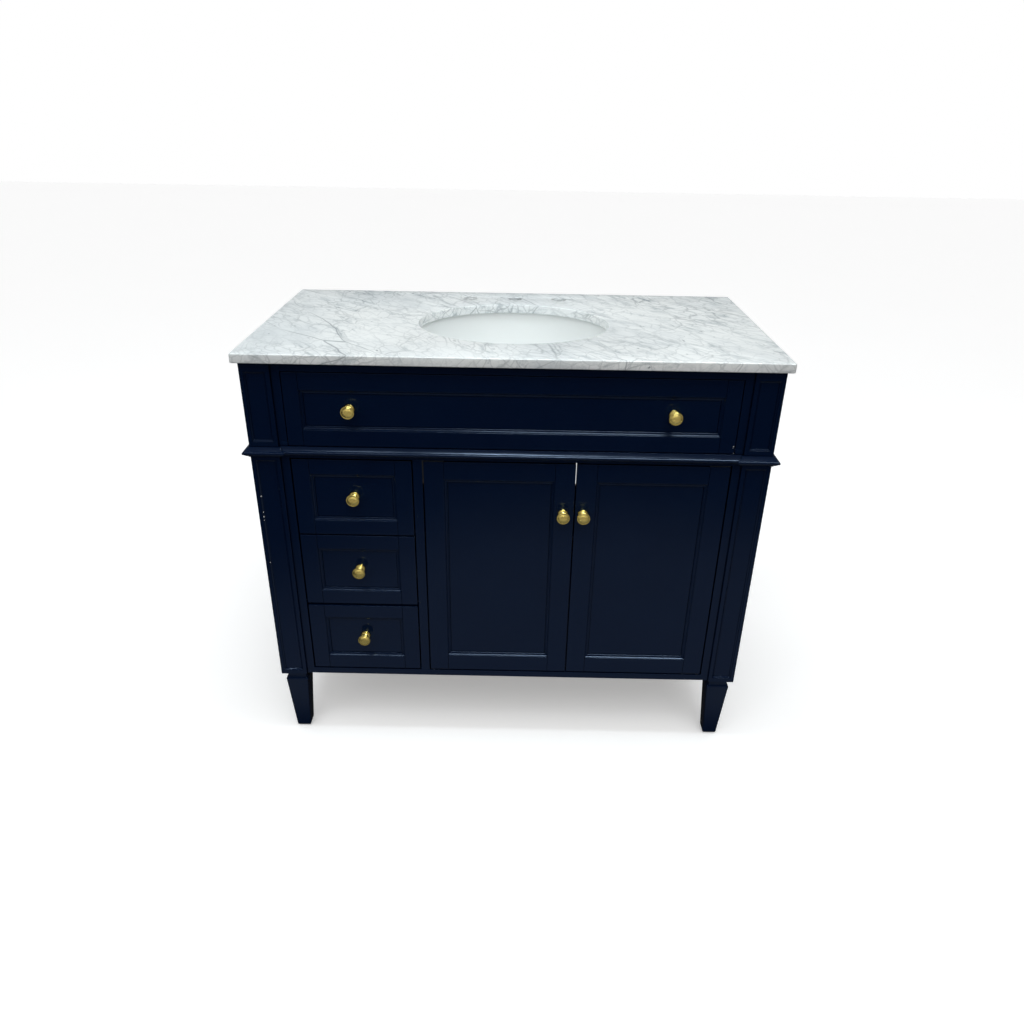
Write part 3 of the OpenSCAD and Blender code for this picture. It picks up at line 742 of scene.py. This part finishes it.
def basin():
    """An oval undermount bowl with a flat flange, a drain boss and a round drain hole."""
    low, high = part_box("basin")
    top = high.z
    centre = (0.0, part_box("countertop")[0].y + CUTOUT_FROM_FRONT)

    def bowl(share, radius, depth):
        """(radius, height) at a share of the way from the rim to the middle: full sides, flat floor."""
        turn = math.radians(90 * share)
        return (radius * math.cos(turn) ** 0.62, -depth * math.sin(turn) ** 0.94)

    inner = [bowl(i / 48, BASIN_RIM - 1.5 * MM, BASIN_DEPTH) for i in range(48)]
    inner = [p for p in inner if p[0] > DRAIN_RADIUS + 6 * MM]
    outer = [bowl(i / 40, BASIN_RIM + BASIN_WALL, BASIN_DEPTH + BASIN_WALL) for i in range(2, 40)]
    outer = [p for p in outer if p[0] > DRAIN_BOSS + 3 * MM]
    drain = DRAIN_RADIUS
    boss = top - low.z
    floor_in, floor_out = inner[-1][1], outer[-1][1]
    lip = [(drain + 3 * MM, floor_in - 1.6 * MM), (drain + 0.6 * MM, floor_in - 3.4 * MM),
           (drain, floor_in - 5 * MM)]
    foot_of_boss = [(drain, -boss), (DRAIN_BOSS - 1 * MM, -boss), (DRAIN_BOSS, -boss + 1 * MM),
                    (DRAIN_BOSS, floor_out - 2 * MM)]
    flange = [(FLANGE_RADIUS - 8 * MM, -FLANGE_THICKNESS), (FLANGE_RADIUS - 1 * MM, -FLANGE_THICKNESS),
              (FLANGE_RADIUS, -FLANGE_THICKNESS + 1 * MM), (FLANGE_RADIUS, -0.8 * MM),
              (FLANGE_RADIUS - 0.8 * MM, 0.0)]
    rim = [(BASIN_RIM + 1.5 * MM, 0.0), (BASIN_RIM, -0.3 * MM)]
    profile = inner[1:] + lip + foot_of_boss + outer[::-1] + flange + rim

    def place(radius, height, cos, sin):
        """The bowl is round at its drain and oval from 130 mm out."""
        share = min(1.0, max(0.0, (radius - 40 * MM) / (90 * MM)))
        share = share * share * (3 - 2 * share)
        squash = 1 + (BASIN_SQUASH - 1) * share
        return (centre[0] + radius * cos, centre[1] + squash * radius * sin, top + height)

    builder = Builder()
    builder.loft(turned(profile, 128, place), closed=True)
    builder.piece("undermount_basin", "cabinet", CHINA, ["basin"], smooth=50)


# ---- Knobs ----


def knob_profile():
    """(radius, height): a collar, a slender neck, and a domed head with a beaded rim."""
    head = KNOB_RADIUS / MM
    reach = KNOB_REACH / MM
    points = ([(9.6, 0), (9.8, 0.2)]
              + arc((8.6, 1.6), 1.2, 0, 80, 6)
              + arc((10.4, 9.6), 5.6, 250, 115, 16)
              + [(head - 2.9, 17.4), (head - 1.2, 19.1)]
              + arc((head - 1.3, 20.8), 1.3, -40, 80, 8)
              + [(head - 1.7, 22.1), (head - 2.1, 21.9), (head - 2.6, 22.3)]
              + [(9.0, 23.4), (8, 23.9), (6, 24.5), (4, 24.8), (2, 24.95), (0.4, reach)])
    return scaled(points, MM)


def knob(name, body, place, replaces):
    """A knob with the middle of its foot at a place."""
    builder = Builder()
    builder.loft(turned(knob_profile(), 64, lambda r, h, c, s: (r * c, -h, r * s)))
    return builder.piece(name, body, BRASS, replaces, at=place, smooth=45)


def single_knob(body):
    node = f"{body}_knob"
    low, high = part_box(node)
    return knob(node + "_turned", body, ((low.x + high.x) / 2, high.y, (low.z + high.z) / 2), [node])


def knobs():
    """Makes all the knobs, and gives them."""
    made = [single_knob(f"{level}_drawer") for level in LEVELS]
    made += [single_knob(f"{side}_door") for side in SIDES]
    low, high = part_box("tipout_knobs")
    middle_z = (low.z + high.z) / 2
    left = (low.x + KNOB_RADIUS, high.y, middle_z)
    right = (high.x - KNOB_RADIUS, high.y, middle_z)
    made.append(knob("tipout_left_knob_turned", "tipout", left, ["tipout_knobs"]))
    made.append(knob("tipout_right_knob_turned", "tipout", right, []))
    return made


# ---- Drawer boxes ----


def drawer_box(level):
    """Sides dovetailed into the front and back boards, and a thin bottom."""
    node = f"{level}_drawer_box"
    body = f"{level}_drawer"
    low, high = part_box(node)
    pitch = (high.z - low.z) / TAILS
    tails = [low.z + pitch * (i + 0.5) for i in range(TAILS)]
    wide = 0.36 * pitch
    narrow = wide - 2.4 * MM
    inner_low, inner_high = low.x + BOX_WALL, high.x - BOX_WALL
    walls = ((low.x, inner_low), (inner_high, high.x))
    front, front_in = low.y, low.y + BOX_WALL
    back, back_in = high.y, high.y - BOX_WALL

    def cut(builder, outline):
        """The same outline of (y, z) in both side walls."""
        for wall in walls:
            builder.loft([[(x, y, z) for y, z in outline] for x in wall], 0.25 * MM)

    near = [(front_in, low.z)]
    for z in tails:
        near += [(front_in, z - narrow), (front, z - wide), (front, z + wide), (front_in, z + narrow)]
    near.append((front_in, high.z))
    far = [(back if y == front else back_in, z) for y, z in reversed(near)]
    sides = Builder()
    cut(sides, near + far)
    sides.piece(node + "_sides", body, BIRCH["YX"], [node])
    boards = Builder()
    for outer, inner in ((front, front_in), (back, back_in)):
        near_y, far_y = sorted((outer, inner))
        boards.board((inner_low, near_y, low.z), (inner_high, far_y, high.z), 0.5 * MM)
        edges = [low.z] + [z + side for z in tails for side in (-wide, wide)] + [high.z]
        inners = [low.z] + [z + side for z in tails for side in (-narrow, narrow)] + [high.z]
        for k in range(0, len(edges), 2):
            pin = [(outer, edges[k]), (outer, edges[k + 1]), (inner, inners[k + 1]), (inner, inners[k])]
            cut(boards, pin)
    boards.piece(node + "_ends", body, BIRCH["XY"])
    bottom = Builder()
    bottom.board((inner_low, front_in, low.z + BOX_BOTTOM[0]), (inner_high, back_in, low.z + BOX_BOTTOM[1]),
                 0.2 * MM)
    bottom.piece(node + "_bottom", body, BIRCH["YZ"])


# ---- The CAD nodes that stay ----


def dress_nodes():
    """Gives the nodes whose CAD shape is right their materials and arrises."""
    for end in ("front", "rear"):
        for side in SIDES:
            dress(f"{end}_{side}_post", NAVY, 0.9 * MM)
    for node in ("top_rail", "waist_rail", "bottom_rail", "left_stile", "right_stile", "center_stile"):
        dress(node, NAVY, 0.5 * MM)
    for node in ("tipout_panel", "left_door_panel", "right_door_panel"):
        dress(node, NAVY)
    plywood = {"floor_panel": PAINTED_FLOOR, "drawer_liner": BIRCH["YX"], "divider_panel": PAINTED_DIVIDER,
               "back_rails": BIRCH["XY"], "corner_blocks": BIRCH["XZ"]}
    for node, looks in plywood.items():
        dress(node, looks, 0.4 * MM)
    dress("back_panel", PAINTED_BACK)
    for node in ("pivot_bushings", "tipout_pivots", "left_door_pivots", "right_door_pivots"):
        dress(node, BLACK_ZINC, 0.25 * MM)
    steel = ["basin_clips", "drawer_slides_outer"]
    steel += [f"{level}_drawer_slides_{part}" for level in LEVELS for part in ("inner", "middle")]
    for node in steel:
        dress(node, ZINC, 0.25 * MM)
    for node in ("tipout_tray", "door_catch"):
        dress(node, WHITE_PLASTIC, 0.6 * MM)
    dress("foot_glides", BLACK_PLASTIC, 0.2 * MM)


# ---- Stage, lights and camera ----


def grey(level):
    return rgb(level, level, level)


def floor():
    """A plain pale floor, which throws most light back near the cabinet's right half.

    It throws back less light than its tone would, so that the paint stays dark.
    """
    half = 12.0
    brightest = (0.34, -0.20, 0.0)
    corners = [(-half, -half, 0), (half, -half, 0), (half, half, 0), (-half, half, 0)]
    data = bpy.data.meshes.new("floor")
    data.from_pydata(corners, [], [(0, 1, 2, 3)])
    made = bpy.data.objects.new("floor", data)
    bpy.context.scene.collection.objects.link(made)
    g = Graph("floor")
    tone = g.mix(g.noise(g.where, 1.5, 3), grey(0.93), grey(0.95))
    bounced = g.mix(g.fade(g.distance(g.where, brightest), 0.8, 1.55), grey(0.22), grey(0.03))
    # painted shade: the bounce is darker still right in front of the cabinet, where the floor would lie in
    # its shade
    bounced = g.mix(g.fade(g.parts(g.where)["Y"], -0.34, -0.24), bounced, grey(0.05))
    seen = g.add("LightPath").outputs["Is Camera Ray"]
    tone = g.mix(seen, bounced, tone)
    g.shader.inputs["Emission Color"].default_value = grey(1.0)
    g.join(g.shader.inputs["Emission Strength"], g.math("MULTIPLY", seen, 0.27))
    g.shader.inputs["Specular IOR Level"].default_value = 0.0
    data.materials.append(g.finish(Base_Color=tone, Roughness=1.0))


def sun(name, strength, angle, azimuth, elevation):
    """A soft sun without glare, from an azimuth, 0 being the front, and a height, in degrees."""
    data = bpy.data.lights.new(name, "SUN")
    data.energy = strength
    data.angle = math.radians(angle)
    made = bpy.data.objects.new(name, data)
    a, e = math.radians(azimuth), math.radians(elevation)
    towards = Vector((math.sin(a) * math.cos(e), -math.cos(a) * math.cos(e), math.sin(e)))
    made.rotation_mode = "QUATERNION"
    made.rotation_quaternion = towards.to_track_quat("Z", "Y")
    made.visible_glossy = False
    bpy.context.scene.collection.objects.link(made)


def softbox(name, power, place, target, size, tint, glint=False, only=()):
    """A rectangular light at a place, aimed at a target.

    A glint is only seen in reflections, and lights nothing but the objects in only, if there are any.
    """
    data = bpy.data.lights.new(name, "AREA")
    data.shape = "RECTANGLE"
    data.size, data.size_y = size
    data.energy = power
    data.color = tint
    made = bpy.data.objects.new(name, data)
    made.location = place
    made.rotation_mode = "QUATERNION"
    made.rotation_quaternion = (Vector(place) - Vector(target)).to_track_quat("Z", "Y")
    made.visible_diffuse = not glint
    made.visible_camera = False
    if only:
        receivers = bpy.data.collections.new(name)
        for receiver in only:
            receivers.objects.link(receiver)
        made.light_linking.receiver_collection = receivers
    bpy.context.scene.collection.objects.link(made)


def lights(knobs_made):
    """Soft suns, an overhead softbox, a small window, and glints on the mouldings and the knobs."""
    cool = {"tint": (0.86, 0.96, 1.0)}
    glint = {"glint": True, **cool}
    brass_glint = {"glint": True, "tint": (1.0, 0.96, 0.90), "only": knobs_made}
    sun("key", 0.85, angle=50, azimuth=20, elevation=66)
    sun("fill", 0.85, angle=80, azimuth=-15, elevation=35)
    sun("back", 0.40, angle=90, azimuth=200, elevation=30)
    softbox("overhead", 22.0, (0.0, -0.35, 2.75), (0.0, -0.15, 0.9), (2.4, 0.32), **cool)
    softbox("window", 2.0, (-0.75, -1.5, 2.9), (-0.05, 0.0, 0.8), (0.35, 0.22), **cool)
    softbox("strip", 33.0, (0.5, -0.75, 2.4), (0.2, -0.25, 0.7), (1.7, 0.30), **glint)
    softbox("front", 6.0, (0.0, -2.6, 1.55), (0.0, -0.27, 0.6), (2.6, 1.2), **brass_glint)
    softbox("low", 3.0, (0.0, -1.05, 0.56), (0.0, 0.0, 0.56), (3.2, 1.1), **brass_glint)


def studio():
    """White all round: bright to the camera, dim as light, and dimmer still in reflections."""
    ambient, reflected, backdrop = 0.26, 0.14, 1.0
    world = bpy.data.worlds.new("studio")
    bpy.context.scene.world = world
    world.use_nodes = True
    nodes, links = world.node_tree.nodes, world.node_tree.links
    ray = nodes.new("ShaderNodeLightPath").outputs
    dimmed = nodes.new("ShaderNodeMapRange")
    dimmed.inputs["To Min"].default_value = ambient
    dimmed.inputs["To Max"].default_value = reflected
    links.new(ray["Is Glossy Ray"], dimmed.inputs["Value"])
    strength = nodes.new("ShaderNodeMapRange")
    links.new(dimmed.outputs["Result"], strength.inputs["To Min"])
    strength.inputs["To Max"].default_value = backdrop
    links.new(ray["Is Camera Ray"], strength.inputs["Value"])
    back = nodes["Background"]
    back.inputs["Color"].default_value = grey(1.0)
    links.new(strength.outputs["Result"], back.inputs["Strength"])
    bpy.context.scene.view_settings.view_transform = "Standard"


def camera():
    """A hand-held view from in front, a little above the top."""
    pitch, yaw, roll = (math.radians(x) for x in (CAMERA_PITCH, CAMERA_YAW, CAMERA_ROLL))
    data = bpy.data.cameras.new("camera")
    data.sensor_width = 36.0
    data.lens = LENS
    made = bpy.data.objects.new("camera", data)
    ahead = Vector((math.sin(yaw) * math.cos(pitch), math.cos(yaw) * math.cos(pitch), math.sin(pitch)))
    right = ahead.cross(Vector((0, 0, 1))).normalized()
    up = right.cross(ahead)
    across = right * math.cos(roll) + up * math.sin(roll)
    upward = up * math.cos(roll) - right * math.sin(roll)
    place = Vector((CAMERA_ASIDE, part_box("countertop")[0].y - CAMERA_BEFORE_STONE, CAMERA_HEIGHT))
    turn = Matrix((across, upward, -ahead)).transposed().to_4x4()
    made.matrix_world = Matrix.Translation(place) @ turn
    bpy.context.scene.collection.objects.link(made)
    bpy.context.scene.camera = made


camera()
floor()
dress_nodes()
countertop()
basin()
for end in ("front", "rear"):
    for side in SIDES:
        foot(f"{end}_{side}_foot")
waist_moldings()
framed_front("tipout_frame_joined", "tipout", "tipout_frame", panel="tipout_panel", grown=(NARROWED,) * 3)
for level in LEVELS:
    node = f"{level}_drawer_front"
    lowered = (0, 0, WIDENED if level == "lower" else 0)
    framed_front(node + "_joined", f"{level}_drawer", node, DRAWER_STILE, DRAWER_RAIL, grown=lowered)
    drawer_box(level)
for side in SIDES:
    meeting = (NARROWED / 2 if side == "right" else 0, NARROWED / 2 if side == "left" else 0, 0)
    framed_front(f"{side}_door_frame_joined", f"{side}_door", f"{side}_door_frame",
                 panel=f"{side}_door_panel", grown=meeting)
    side_frame(side)
lights(knobs())
studio()
